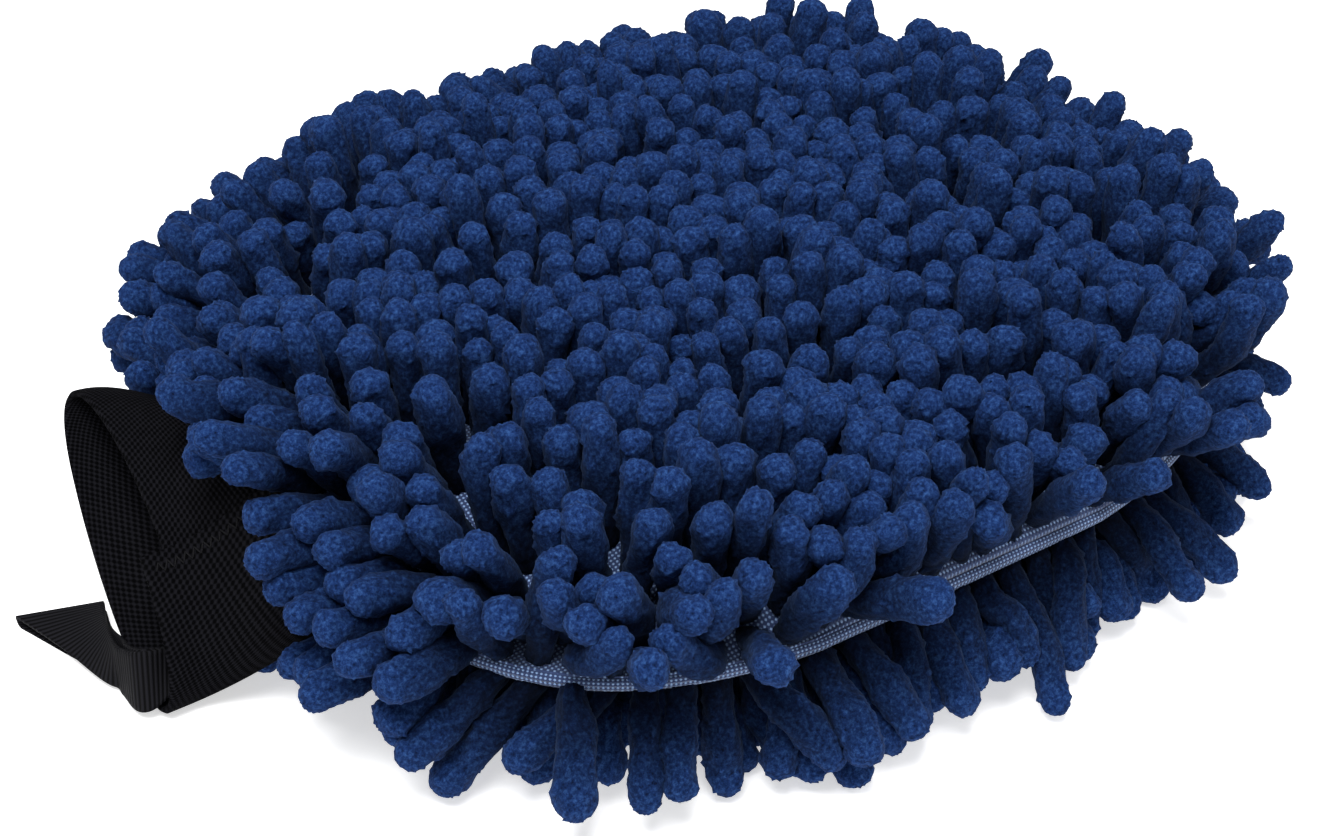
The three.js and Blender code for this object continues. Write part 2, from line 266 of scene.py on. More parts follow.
# Polyester tape, woven with ribs across it; the light the ribs catch is painted as fine parallel lines, with
# painted shade in the grooves between them.
def makeTape():
    look = tapeLook
    material, tree, shader = newMaterial("ribbedTape")
    wave = addWaves(tree, weavePlaces(tree)["X"], look["rib"])
    ribs = addNode(tree, "ShaderNodeMath", {"operation": "MULTIPLY_ADD"}, {1: 0.5, 2: 0.5}, {0: wave})
    # Painted light on the ribs and painted shade in the grooves, following the rib height.
    colour = addNode(tree, "ShaderNodeValToRGB", links={"Fac": ribs.outputs[0]},
                     stops=list(zip(look["stops"], (linear(look["groovePaintedShade"]), linear(look["ridgePaintedLight"])))))
    finishShader(tree, shader, look, colour.outputs["Color"], ribs.outputs[0])
    return material


plainLook = {
    "lining": "#3c4a66",
    "thread": "#161618",
    "grain": 0.4 * mm,  # thread spacing of the lining
    "bump": 0.4,
    "bumpHeight": 0.1 * mm,
    "roughness": 0.85,
    "specular": 0.05,
}


# Woven polyester lining or spun sewing thread: matt, with a faint grain.
def makePlain(name, colour):
    look = plainLook
    material, tree, shader = newMaterial(name)
    place = addNode(tree, "ShaderNodeTexCoord").outputs["Object"]
    grain = addNode(tree, "ShaderNodeTexNoise", {}, {"Scale": 1 / look["grain"], "Detail": 2.0},
                    {"Vector": place})
    finishShader(tree, shader, look, linear(colour), grain.outputs["Fac"])
    return material


bodyShape = {
    "fingerRoundness": 2.5,
    "cuffEndRoundness": 3.2,
    "topRise": 9 * mm,
    "bottomSag": 6 * mm,
    "crownPower": 3.2,
    "ground": 1.0 * mm,
    "cutShare": 0.985,  # the outline's sides are cut straight at this share of its half width
    "seamHalfGap": 0.8 * mm,
    "mouthStart": 0.55,  # share of the half length where the faces begin to close on the cuff
    "swell": 1.6 * mm,
    "broadSwell": (31 * mm, 27 * mm),
    "slightSwell": (17 * mm, 23 * mm),
    "slightShare": 0.6,
}

groundLow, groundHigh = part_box("top_ground_fabric")
seamLow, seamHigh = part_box("seam_thread")
halfLength = (groundHigh.x - groundLow.x) / 2
cutWidth = groundHigh.y
halfWidth = cutWidth / bodyShape["cutShare"]
seamHeight = (seamLow.z + seamHigh.z) / 2


# Half length of the outline at y; side is 1 at the finger end and -1 at the cuff end.
def reachAt(y, side):
    power = np.where(side > 0, bodyShape["fingerRoundness"], bodyShape["cuffEndRoundness"])
    inner = np.clip(1 - np.abs(y / halfWidth) ** power, 0, None)
    return halfLength * inner ** (1 / power)


# A soft step from 0 to 1.
def smooth(t):
    t = np.clip(t, 0, 1)
    return t * t * (3 - 2 * t)


# Slow undulation of the faces: a broad one, and a slighter one on the slant.
def swell(x, y):
    broadX, broadY = bodyShape["broadSwell"]
    slightX, slightY = bodyShape["slightSwell"]
    broad = np.sin(x / broadX + 1.3) * np.sin(y / broadY + 0.4)
    return broad + bodyShape["slightShare"] * np.sin(x / slightX + y / slightY + 2.0)


# Height of the outer side of a face's ground fabric; side is 1 for the upper face and -1 for the lower.
def groundOutside(x, y, side):
    reach = np.maximum(reachAt(y, np.sign(x)), 0.1 * mm)
    s = np.clip(x / reach, -1, 1)
    power = bodyShape["crownPower"]
    across = np.clip(np.abs(y) / cutWidth, 0, 1)
    crown = np.sqrt(np.clip((1 - np.abs(s) ** power) * (1 - across ** power), 0, 1))
    bulge = np.where(side > 0, bodyShape["topRise"], bodyShape["bottomSag"]) * crown
    bulge = bulge + bodyShape["swell"] * swell(x, y) * crown
    mouth = cuffShape["rootHalfHeight"] * np.clip(1 - (y / cuffShape["halfWidth"]) ** 2, 0, 1)
    share = smooth((-s - bodyShape["mouthStart"]) / (1 - bodyShape["mouthStart"]))
    inside = bulge * (1 - share) + mouth * share
    return seamHeight + side * (bodyShape["seamHalfGap"] + inside + bodyShape["ground"])


cuffShape = {
    "length": 28 * mm,
    "thickness": 1.5 * mm,
    "halfWidth": 35 * mm,
    "rootHalfHeight": 11 * mm,
    "mouthHalfHeight": 8 * mm,
    "shear": 10 * mm,  # how far the mouth's upper lip is cut back from its lower one
    "rootGap": 0.3 * mm,
    "overlap": 0.06,  # share of its length that reaches inside the body
    "edgeRounding": 0.015,
    "lapGap": 0.25 * mm,
    "weaveRadius": 27 * mm,  # turns degrees round the oval into cloth
    "innerEnd": 130.0,  # degrees round the oval
    "lap": 27.0,
    "lapOffset": 5 * mm,
    "roll": 26.0,
    "yaw": 5.0,
    "shift": 13 * mm,  # the mouth's centre, sideways and down from the seam's
    "drop": 7.5 * mm,
}


# Centre and the two cross directions of the cuff's oval, at a share of its length.
def cuffFrame(along):
    share = smooth(along)
    roll = np.radians(cuffShape["roll"]) * share
    yaw = np.radians(cuffShape["yaw"]) * share
    level = np.stack([np.sin(yaw), np.cos(yaw), 0 * yaw], -1)
    up = np.array([0.0, 0.0, 1.0])
    wide = level * np.cos(roll)[..., None] + up * np.sin(roll)[..., None]
    high = -level * np.sin(roll)[..., None] + up * np.cos(roll)[..., None]
    centre = np.stack([-halfLength - cuffShape["rootGap"] - cuffShape["length"] * along,
                       cuffShape["shift"] * share,
                       seamHeight - cuffShape["drop"] * share], -1)
    return centre, wide, high


def ovalHalfHeight(along):
    root, mouth = cuffShape["rootHalfHeight"], cuffShape["mouthHalfHeight"]
    return root + (mouth - root) * smooth(along)


# A point of the cuff: degrees round its oval, a share of its length and a distance out from its middle.
def cuffPoint(angle, along, lift):
    centre, wide, high = cuffFrame(along)
    turn = np.radians(angle)
    share = smooth(along)
    halfHeight = ovalHalfHeight(along)
    setBack = np.array([0.5 * cuffShape["shear"], 0, 0]) * (share * np.sin(turn))[..., None]
    return (centre + setBack + wide * ((cuffShape["halfWidth"] + lift) * np.cos(turn))[..., None]
            + high * ((halfHeight + lift) * np.sin(turn))[..., None])


noodle = {
    "length": 23.5 * mm,
    "lengthSpread": 0.11,
    "radius": 3.38 * mm,
    "radiusSpread": 0.07,
    "joints": 7,
    "pitch": 6.6 * mm,
    "rimPitch": 6.4 * mm,
    "topRimInsets": (2.8 * mm, 7.4 * mm, 12.6 * mm, 18.2 * mm),
    "bottomRimInsets": (2.6 * mm, 7.4 * mm, 12.6 * mm, 18.0 * mm),
    "rimFall": 26 * mm,  # how far in from the seam the noodles start to lean out
    "topRimLean": 70.0,  # degrees from upright at the seam
    "nearRimLean": 34.0,
    "cuffRimLean": 88.0,
    "bottomRimLean": 76.0,
    "nearBottomLean": 58.0,
    "leanSpread": 13.0,
    "bottomComb": 22.0,  # least lean of the lower face's noodles
    "topDroop": 0.2,
    "bottomDroop": 0.35,
    "groupLean": 0.13,
    "unrest": 0.07,  # how much each noodle strays from its neighbours' lean
    "rimUnrest": 0.32,
    "cuffLift": 0.35,  # how much the noodles over the cuff stand up from their lean
    "fieldMargin": 0.55,  # pitches between the innermost rim noodles and the rows
    "footWander": 0.45 * mm,
    "rootThickness": 0.74,  # share of the radius at the root, and how much fuller the head is
    "headFullness": 0.28,
    "headStart": 0.62,
    "capShare": 0.15,
    "rings": 30,
    "capRings": 9,
    "sides": 28,
    "fuzz": 0.11 * mm,  # unevenness of the pile, outwards and along
    "pileSpread": 0.1 * mm,
    # pileShade: painted light on tall tufts and painted shade on short ones
    "pileShade": 0.05,  # how much a tuft's height lightens it
}

# Slow lumps round and along a noodle: their size, and how many there are round it and along it.
lumpWaves = ((0.05, 2, 5), (0.06, 3, -9), (0.06, 0, 14), (0.04, 5, 19))

# Where round the seam the noodles lean differently: starts and spans of the changes.
rimZones = {
    "nearStart": 0.2,
    "nearSpan": 0.5,
    "cuffwards": (-0.84, 0.54),
    "cuffStart": 0.4,
    "cuffSpan": 0.4,
    "overCuffStart": 0.6,
    "overCuffSpan": 0.3,
    "overCuffWidth": 1.6,
    "leanPower": 1.2,
}

# How the noodles are pushed apart; the shares are of a noodle's radius.
settling = {
    "steps": 140,
    "regroup": 10,  # steps between searches for noodles that touch
    "search": 2.2,
    "touch": 0.97,
    "tableLift": 1.14,
    "fabricLift": 0.8,
    "cuffRoom": 1.5 * mm,
    "cuffReach": 1.3,
    "crowding": 0.6,
    "rootHold": 0.35,
    "hold": 0.05,
    "rimHold": 0.08,
}

rowCount = 23  # one row of noodles for each chenille row of the CAD
rowPitch = 2 * cutWidth / rowCount
rng = np.random.default_rng(4)


# Points along the body's outline, moved inwards, at an even spacing.
def rimPoints(inset, pitch):
    turn = np.linspace(-math.pi, math.pi, 2001)
    c, s = np.cos(turn), np.sin(turn)
    power = 2 / np.where(c > 0, bodyShape["fingerRoundness"], bodyShape["cuffEndRoundness"])
    x = (halfLength - inset) * np.sign(c) * np.abs(c) ** power
    y = np.clip((halfWidth - inset) * np.sign(s) * np.abs(s) ** power, -cutWidth + inset, cutWidth - inset)
    run = np.concatenate([[0], np.cumsum(np.hypot(np.diff(x), np.diff(y)))])
    count = int(run[-1] / pitch)
    at = np.arange(count) * run[-1] / count
    return np.stack([np.interp(at, run, x), np.interp(at, run, y)], -1)


# Feet of one face's noodles: a rim beside the seam, and rows along X inside it, every other one shifted.
def noodleFeet(side):
    insets = noodle["topRimInsets"] if side > 0 else noodle["bottomRimInsets"]
    shrink = 1 - (insets[-1] + noodle["fieldMargin"] * noodle["pitch"]) / halfWidth
    feet = [rimPoints(inset, noodle["rimPitch"]) for inset in insets]
    for row in range(rowCount):
        y = (row - (rowCount - 1) / 2) * rowPitch
        if abs(y) > cutWidth * shrink:
            continue
        low, high = -reachAt(y / shrink, -1.0) * shrink, reachAt(y / shrink, 1.0) * shrink
        count = max(1, int(round((high - low) / noodle["pitch"])))
        stagger = 0.25 + 0.5 * (row % 2)
        x = low + (high - low) * (np.arange(count) + stagger) / count
        feet.append(np.stack([x, np.full(count, y)], -1))
    feet = np.concatenate(feet)
    feet = feet + rng.normal(0, noodle["footWander"], feet.shape)
    rows = np.clip(np.floor((feet[:, 1] + cutWidth) / rowPitch), 0, rowCount - 1).astype(int)
    return np.column_stack([feet, groundOutside(feet[:, 0], feet[:, 1], side)]), rows


# A slow random direction over the field, so that noodles lean in groups and part between them.
def groupLean(x, y, phase):
    waves = [(31, 17, 0.0), (-19, 37, 1.7), (45, -28, 3.9), (23, 52, 5.1)]
    scale, strength = 2.6, 1 / 60
    total = np.zeros((len(x), 2))
    for kx, ky, shift in waves:
        angle = kx * x * scale + ky * y * scale + shift + phase
        total += np.stack([np.cos(angle) * kx, np.cos(angle) * ky], -1) * strength
    return total


# How far points are inside the seam, and the direction from them out to it.
def seamDepth(x, y):
    seamStep, softness = 2 * mm, 4 * mm
    seam = rimPoints(0.0, seamStep)
    gap = seam[None] - np.stack([x, y], -1)[:, None]
    distance = np.linalg.norm(gap, axis=2)
    weight = np.exp(-(distance - distance.min(1, keepdims=True)) / softness)
    outward = (gap / (distance[..., None] + 1e-9) * weight[..., None]).sum(1)
    outward /= np.linalg.norm(outward, axis=1)[:, None] + 1e-9
    return distance.min(1), outward


# Where each noodle's joints would lie if it were alone: leaning out towards the seam and drooping there.
def restingChains(feet, side):
    count, joints, zones = len(feet), noodle["joints"], rimZones
    x, y = feet[:, 0], feet[:, 1]
    depth, outward = seamDepth(x, y)
    fall = np.clip(1 - depth / noodle["rimFall"], 0, 1)
    near = smooth((-outward[:, 1] - zones["nearStart"]) / zones["nearSpan"])
    cuffwards = zones["cuffwards"][0] * outward[:, 0] + zones["cuffwards"][1] * outward[:, 1]
    farCuff = smooth((cuffwards - zones["cuffStart"]) / zones["cuffSpan"])
    topLean = noodle["topRimLean"] + (noodle["nearRimLean"] - noodle["topRimLean"]) * near
    topLean = topLean + (noodle["cuffRimLean"] - topLean) * farCuff
    bottomLean = noodle["bottomRimLean"] + (noodle["nearBottomLean"] - noodle["bottomRimLean"]) * near
    angle = (topLean if side > 0 else bottomLean) * fall ** zones["leanPower"]
    angle = angle + rng.normal(0, noodle["leanSpread"], count) * fall
    pastMiddle = (-x / halfLength - zones["overCuffStart"]) / zones["overCuffSpan"]
    overCuff = smooth(pastMiddle) * smooth(zones["overCuffWidth"] - np.abs(y) / cuffShape["halfWidth"])
    if side > 0:
        angle = angle * (1 - noodle["cuffLift"] * overCuff)
    else:
        angle = np.maximum(angle, noodle["bottomComb"])
    angle = np.radians(angle)[:, None]
    phase = 0.0 if side > 0 else 2.2
    lean = noodle["groupLean"] * groupLean(x, y, phase)
    unrest = noodle["unrest"] + (noodle["rimUnrest"] - noodle["unrest"]) * fall ** 2
    lean += rng.normal(0, 1, lean.shape) * unrest[:, None]
    plan = outward * np.sin(angle) + lean
    direction = np.column_stack([plan, side * np.cos(angle)])
    direction /= np.linalg.norm(direction, axis=1)[:, None]
    length = noodle["length"] * (1 + rng.normal(0, noodle["lengthSpread"], count))
    limpness = noodle["topDroop"] if side > 0 else noodle["bottomDroop"]
    chain = [feet]
    for k in range(1, joints):
        droop = (k / joints) ** 2 * fall ** 2 * limpness
        step = direction + np.column_stack([np.zeros((count, 2)), -droop])
        step /= np.linalg.norm(step, axis=1)[:, None]
        chain.append(chain[-1] + step * (length / (joints - 1))[:, None])
    return np.stack(chain, 1), length, fall


# Pairs of joints of different noodles that are close enough to touch.
def closePairs(points, owner, movable, reach):
    tree = KDTree(len(points))
    for i, p in enumerate(points):
        tree.insert(p, i)
    tree.balance()
    first, second = [], []
    for i in movable:
        for _, j, _ in tree.find_range(points[i], reach):
            if j > i and owner[j] != owner[i]:
                first.append(i)
                second.append(j)
    return np.array(first), np.array(second)


# Pushes the noodles apart, off the table, the fabric and the cuff, and keeps their lengths.
def settle(chains, length, radius, side, hold):
    count, joints = chains.shape[:2]
    x = chains.reshape(-1, 3).copy()
    rest = x.copy()
    owner = np.repeat(np.arange(count), joints)
    order = np.tile(np.arange(joints), count)
    size = radius[owner] * settling["touch"]
    facing = side[owner]
    movable = np.nonzero(order > 0)[0]
    fixed = order == 0
    held = settling["hold"] + settling["rimHold"] * hold[owner] ** 2
    pull = np.where(order == 1, settling["rootHold"], held)[:, None]
    for step in range(settling["steps"]):
        if step % settling["regroup"] == 0:
            first, second = closePairs(x, owner, movable, settling["search"] * noodle["radius"])
        x += (rest - x) * pull
        gap = x[first] - x[second]
        distance = np.linalg.norm(gap, axis=1) + 1e-9
        overlap = np.clip(size[first] + size[second] - distance, 0, None)
        push = gap / distance[:, None] * (overlap * 0.5)[:, None]
        move = np.zeros_like(x)
        hits = np.zeros(len(x))
        np.add.at(move, first, push)
        np.add.at(move, second, -push)
        np.add.at(hits, first, overlap > 0)
        np.add.at(hits, second, overlap > 0)
        x += move / np.maximum(1, hits * settling["crowding"])[:, None]
        x[:, 2] = np.maximum(x[:, 2], size * settling["tableLift"])
        keepOffFabric(x, size, facing)
        keepOffCuff(x, size)
        x[fixed] = rest[fixed]
        links = x.reshape(count, joints, 3)
        for k in range(1, joints):
            stretch = links[:, k] - links[:, k - 1]
            reach = np.linalg.norm(stretch, axis=1)[:, None] + 1e-9
            links[:, k] = links[:, k - 1] + stretch / reach * (length / (joints - 1))[:, None]
    return x.reshape(count, joints, 3)


# Lifts joints that have sunk into their own face's fabric.
def keepOffFabric(x, size, facing):
    nearlyAll = 0.99
    inside = np.abs(x[:, 0]) < reachAt(x[:, 1], np.sign(x[:, 0])) * nearlyAll
    for side in (1, -1):
        rows = inside & (facing == side)
        floor = groundOutside(x[rows, 0], x[rows, 1], side)
        need = floor + side * size[rows] * settling["fabricLift"]
        x[rows, 2] = np.maximum(x[rows, 2], need) if side > 0 else np.minimum(x[rows, 2], need)


# Moves joints that have sunk into the cuff out of its oval.
def keepOffCuff(x, size):
    along = (-halfLength - x[:, 0]) / cuffShape["length"]
    near = (along > 0) & (along < settling["cuffReach"])
    if not near.any():
        return
    centre, wide, high = cuffFrame(np.clip(along[near], 0, 1))
    offset = x[near] - centre
    across, above = (offset * wide).sum(-1), (offset * high).sum(-1)
    room = size[near] + settling["cuffRoom"]
    a, b = cuffShape["halfWidth"] + room, ovalHalfHeight(along[near]) + room
    level = np.sqrt((across / a) ** 2 + (above / b) ** 2) + 1e-6
    scale = np.maximum(1, 1 / level)
    x[near] = centre + wide * (across * scale)[:, None] + high * (above * scale)[:, None]


# Points of smooth curves guided by the chains, at shares of their length.
def curveThrough(chains, share):
    joints = chains.shape[1]
    place = np.clip(share * (joints - 1), 0, joints - 1 - 1e-6)
    k = place.astype(int)
    t = (place - k)[None, :, None]
    padded = np.concatenate([2 * chains[:, :1] - chains[:, 1:2], chains,
                             2 * chains[:, -1:] - chains[:, -2:-1]], 1)
    p0, p1, p2, p3 = (padded[:, k + i] for i in range(4))
    return ((1 - t) ** 3 * p0 + (3 * t ** 3 - 6 * t ** 2 + 4) * p1
            + (-3 * t ** 3 + 3 * t ** 2 + 3 * t + 1) * p2 + t ** 3 * p3) / 6


# Vertices of a set of noodles: rings round each centre line, a narrow root, a fuller head and a round tip.
def noodleVertices(chains, radius):
    count = len(chains)
    rings, sides = noodle["rings"], noodle["sides"]
    capRings, capShare = noodle["capRings"], noodle["capShare"]
    capTurn = np.linspace(0, math.pi / 2, capRings + 2)[1:-1]
    share = np.concatenate([np.linspace(0, 1 - capShare, rings - capRings),
                            1 - capShare + capShare * np.sin(capTurn)])
    centre = curveThrough(chains, share)
    tangent = np.gradient(centre, axis=1)
    tangent /= np.linalg.norm(tangent, axis=2)[..., None]
    chord = chains[:, -1] - chains[:, 0]
    helper = np.cross(chord, rng.normal(0, 1, (count, 3)))
    helper /= np.linalg.norm(helper, axis=1)[:, None]
    first = helper[:, None, :] - tangent * (helper[:, None, :] * tangent).sum(-1, keepdims=True)
    first /= np.linalg.norm(first, axis=2)[..., None]
    second = np.cross(tangent, first)
    cap = np.sqrt(np.clip(1 - (np.clip(share - (1 - capShare), 0, None) / capShare) ** 2, 0, 1))
    body = noodle["rootThickness"] + noodle["headFullness"] * smooth(share / noodle["headStart"])
    profile = body * cap
    theta = np.linspace(0, 2 * math.pi, sides, endpoint=False)
    phase = rng.uniform(0, 2 * math.pi, (count, len(lumpWaves)))[:, :, None, None]
    t, q = theta[None, None, :], share[None, :, None]
    lumps = 1
    for i, (size, around, lengthwise) in enumerate(lumpWaves):
        lumps = lumps + size * np.sin(around * t + lengthwise * q + phase[:, i])
    tufts = 1.6  # mean height of the pile, most of it short
    wool = rng.gamma(tufts, 1.0, (count, rings, sides)) - tufts
    spread = radius[:, None, None] * profile[None, :, None] * lumps + wool * noodle["fuzz"]
    thinnest = 0.1 * mm
    spread = np.maximum(spread, thinnest)
    along = rng.normal(0, noodle["pileSpread"], (count, rings, sides))
    verts = (centre[:, :, None, :] + tangent[:, :, None, :] * along[..., None]
             + first[:, :, None, :] * (spread * np.cos(theta))[..., None]
             + second[:, :, None, :] * (spread * np.sin(theta))[..., None])
    # The share along the noodle drives the chenille's painted root shade; a tall tuft adds painted light, a
    # short one painted shade.
    pile = np.broadcast_to(share[None, :, None], (count, rings, sides)) + wool * noodle["pileShade"]
    tip = curveThrough(chains, np.array([0.9999]))[:, 0] + tangent[:, -1] * 0.05 * mm
    root = centre[:, 0]
    return verts.reshape(count, -1, 3), pile.reshape(count, -1), root, tip


# Faces of one noodle: quads between its rings, triangles to the points at both ends.
def noodleFaces():
    rings, sides = noodle["rings"], noodle["sides"]
    quads = []
    for r in range(rings - 1):
        a = r * sides + np.arange(sides)
        b = r * sides + (np.arange(sides) + 1) % sides
        quads.append(np.stack([a, b, b + sides, a + sides], -1))
    last = (rings - 1) * sides
    a, b = np.arange(sides), (np.arange(sides) + 1) % sides
    root, tip = rings * sides, rings * sides + 1
    ends = np.concatenate([np.stack([b, a, np.full(sides, root)], -1),
                           np.stack([a + last, b + last, np.full(sides, tip)], -1)])
    return np.concatenate(quads), ends


# A mesh object from arrays of quads and triangles, with optional point attributes.
def makeMesh(name, verts, quads, triangles, material, pile=None, weave=None):
    mesh = bpy.data.meshes.new(name)
    mesh.vertices.add(len(verts))
    mesh.vertices.foreach_set("co", np.ascontiguousarray(verts, np.float32).ravel())
    corners = np.concatenate([quads.ravel(), triangles.ravel()])
    sizes = np.concatenate([np.full(len(quads), 4), np.full(len(triangles), 3)])
    mesh.loops.add(len(corners))
    mesh.loops.foreach_set("vertex_index", corners.astype(np.int32))
    mesh.polygons.add(len(sizes))
    mesh.polygons.foreach_set("loop_start", (np.cumsum(sizes) - sizes).astype(np.int32))
    mesh.update(calc_edges=True)
    mesh.shade_smooth()
    if pile is not None:
        shares = pile.astype(np.float32).ravel()
        mesh.attributes.new("pile", "FLOAT", "POINT").data.foreach_set("value", shares)
    if weave is not None:
        data = np.zeros((len(verts), 3), np.float32)
        data[:, :2] = weave
        mesh.attributes.new("weave", "FLOAT_VECTOR", "POINT").data.foreach_set("vector", data.ravel())
    mesh.materials.append(material)
    obj = bpy.data.objects.new(name, mesh)
    bpy.context.scene.collection.objects.link(obj)
    return obj


noTriangles = np.zeros((0, 3), int)


# All the noodles of one row as one mesh.
def makeNoodleRow(name, chains, radius, material):
    verts, pile, root, tip = noodleVertices(chains, radius)
    quads, ends = noodleFaces()
    count, each = len(chains), verts.shape[1] + 2
    verts = np.concatenate([verts, root[:, None], tip[:, None]], 1)
    # The root point takes the darkest painted shade and the tip point the lightest.
    pile = np.concatenate([pile, np.zeros((count, 1)), np.ones((count, 1))], 1)
    shift = (np.arange(count) * each)[:, None, None]
    return makeMesh(name, verts.reshape(-1, 3), (quads[None] + shift).reshape(-1, 4),
                    (ends[None] + shift).reshape(-1, 3), material, pile=pile)


# Both faces' noodles: settled together, then made row by row.
def makePile(material):
    feetTop, rowsTop = noodleFeet(1)
    feetBottom, rowsBottom = noodleFeet(-1)
    restTop, lengthTop, holdTop = restingChains(feetTop, 1)
    restBottom, lengthBottom, holdBottom = restingChains(feetBottom, -1)
    chains = np.concatenate([restTop, restBottom])
    length = np.concatenate([lengthTop, lengthBottom])
    side = np.concatenate([np.ones(len(restTop)), -np.ones(len(restBottom))])
    radius = noodle["radius"] * (1 + rng.normal(0, noodle["radiusSpread"], len(chains)))
    say(f"settling {len(chains)} noodles")
    chains = settle(chains, length, radius, side, np.concatenate([holdTop, holdBottom]))
    rows = np.concatenate([rowsTop, rowsBottom])
    for face, sign in (("top", 1), ("bottom", -1)):
        for row in range(rowCount):
            chosen = (rows == row) & (side == sign)
            name = f"{face}_noodles_{row + 1:02d}"
            obj = makeNoodleRow(name, chains[chosen], radius[chosen], material)
            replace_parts(obj, f"{face}_chenille_row_{row + 1:02d}")
            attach(obj, "mitt")
    say("noodles made")


# Quads between neighbouring points of a grid.
def gridFaces(columns, rows, offset=0):
    i, j = np.meshgrid(np.arange(columns - 1), np.arange(rows - 1), indexing="ij")
    a = i * rows + j
    return np.stack([a, a + rows, a + rows + 1, a + 1], -1).reshape(-1, 4) + offset


# A closed thin sheet from two grids of points of the same size, outer and inner, joined round the edge.
def sheetMesh(name, outer, inner, material, weave):
    columns, rows = outer.shape[:2]
    count = columns * rows
    top = gridFaces(columns, rows)
    under = gridFaces(columns, rows, count)[:, ::-1]
    index = np.arange(count).reshape(columns, rows)
    rim = np.concatenate([index[:, 0], index[-1, 1:], index[-2::-1, -1], index[0, -2:0:-1]])
    after = np.roll(rim, -1)
    edge = np.stack([after, rim, rim + count, after + count], -1)
    verts = np.concatenate([outer.reshape(-1, 3), inner.reshape(-1, 3)])
    flat = np.concatenate([weave.reshape(-1, 2)] * 2)
    return makeMesh(name, verts, np.concatenate([top, under, edge]), noTriangles, material, weave=flat)


# Points of the body's plan as a grid: a square's grid squeezed into the outline.
def planGrid(cells, inset=0.0):
    shortOfSide = 0.999
    u = np.sin(np.linspace(-0.5, 0.5, cells + 1) * math.pi)
    s, across = np.meshgrid(u, u * shortOfSide, indexing="ij")
    y = across * cutWidth
    x = s * reachAt(y, np.sign(s))
    scale = 1 - inset / halfWidth
    return x * scale, y * scale


# One face's net: a closed sheet whose outer side carries the noodles.
def makeGroundFabric(name, side, material):
    x, y = planGrid(90)
    outside = groundOutside(x, y, side)
    inside = outside - side * bodyShape["ground"]
    outer, inner = np.stack([x, y, outside], -1), np.stack([x, y, inside], -1)
    if side < 0:
        outer, inner = inner, outer
    obj = sheetMesh(name, outer, inner, material, np.stack([x, y], -1))
    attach(obj, "mitt")
    return obj


seamRoll = {
    "inset": 0.2 * mm,
    "step": 1.2 * mm,
    "open": 0.1,  # share of the outline left open at the mouth
    "deep": 1.2 * mm,
    "tall": 1.4 * mm,
    "hollow": 0.7,
    "sides": 17,
    "weaveRadius": 1.5 * mm,
}


# The folded edge of the net that closes the seam: a soft roll whose pale yarns stand out between the noodles.
def makeSeamRoll(material):
    line = rimPoints(seamRoll["inset"], seamRoll["step"])
    line = line[np.abs(np.arctan2(line[:, 1], line[:, 0])) < math.pi * (1 - seamRoll["open"])]
    heading = np.gradient(line, axis=0)
    heading /= np.linalg.norm(heading, axis=1)[:, None]
    out = np.stack([heading[:, 1], -heading[:, 0]], -1)
    turn = np.linspace(0, 2 * math.pi, seamRoll["sides"])

    def ring(size):
        plan = line[:, None, :] + out[:, None, :] * (seamRoll["deep"] * size * np.cos(turn))[None, :, None]
        height = seamHeight + seamRoll["tall"] * size * np.sin(turn)[None, :, None]
        return np.concatenate([plan, np.broadcast_to(height, (len(line), len(turn), 1))], -1)

    run = np.arange(len(line)) * seamRoll["step"]
    weave = np.stack(np.meshgrid(run, turn * seamRoll["weaveRadius"], indexing="ij"), -1)
    obj = sheetMesh("seam_roll", ring(1.0), ring(seamRoll["hollow"]), material, weave)
    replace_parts(obj, "seam_thread")
    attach(obj, "mitt")
    return obj


liningShape = {
    "inset": 8 * mm,
    "thickness": 0.3 * mm,
    "apart": 0.6 * mm,
    "fullness": 0.62,  # how closely it follows the net over it
    "netRise": 1.8 * mm,
}


# One lining: it hangs between the net and the middle of the pocket, and stops short of the seam.
def makeLining(name, side, material):
    inset, half = liningShape["inset"], liningShape["thickness"] / 2
    x, y = planGrid(60, inset)
    rise = np.abs(groundOutside(x, y, side) - seamHeight - side * liningShape["netRise"])
    middle = seamHeight + side * (liningShape["apart"] + liningShape["fullness"] * rise)
    high, low = np.stack([x, y, middle + half], -1), np.stack([x, y, middle - half], -1)
    obj = sheetMesh(name, high, low, material, np.stack([x, y], -1))
    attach(obj, "mitt")
    return obj


# The elastic band: one strip round the oval, its outer end lapped over its inner one and set back a little.
def makeCuff(material):
    lap, thickness = cuffShape["lap"], cuffShape["thickness"]
    turned, along = np.meshgrid(np.linspace(0, 360 + lap, 361), np.linspace(-cuffShape["overlap"], 1, 60),
                                indexing="ij")
    climb = smooth((turned - (360 - 2 * lap)) / (2 * lap))
    driftStart, driftSpan = 180, 170  # degrees over which the band drifts to its lap's offset
    step = cuffShape["lapOffset"] / cuffShape["length"] * smooth((turned - driftStart) / driftSpan)
    rounding = cuffShape["edgeRounding"]
    edge = np.clip((along - (1 - rounding)) / rounding, 0, 1)
    half = thickness / 2 * np.sqrt(np.clip(1 - edge ** 2, 0.1, 1))
    middle = climb * (thickness + cuffShape["lapGap"])
    angle = cuffShape["innerEnd"] - turned
    reach = along * (1 + step)
    outer = cuffPoint(angle, reach, middle + half)
    inner = cuffPoint(angle, reach, middle - half)
    weave = np.stack([np.radians(turned) * cuffShape["weaveRadius"], along * cuffShape["length"]], -1)
    obj = sheetMesh("elastic_cuff", inner, outer, material, weave)
    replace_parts(obj, "cuff_band")
    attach(obj, "mitt")
    return obj


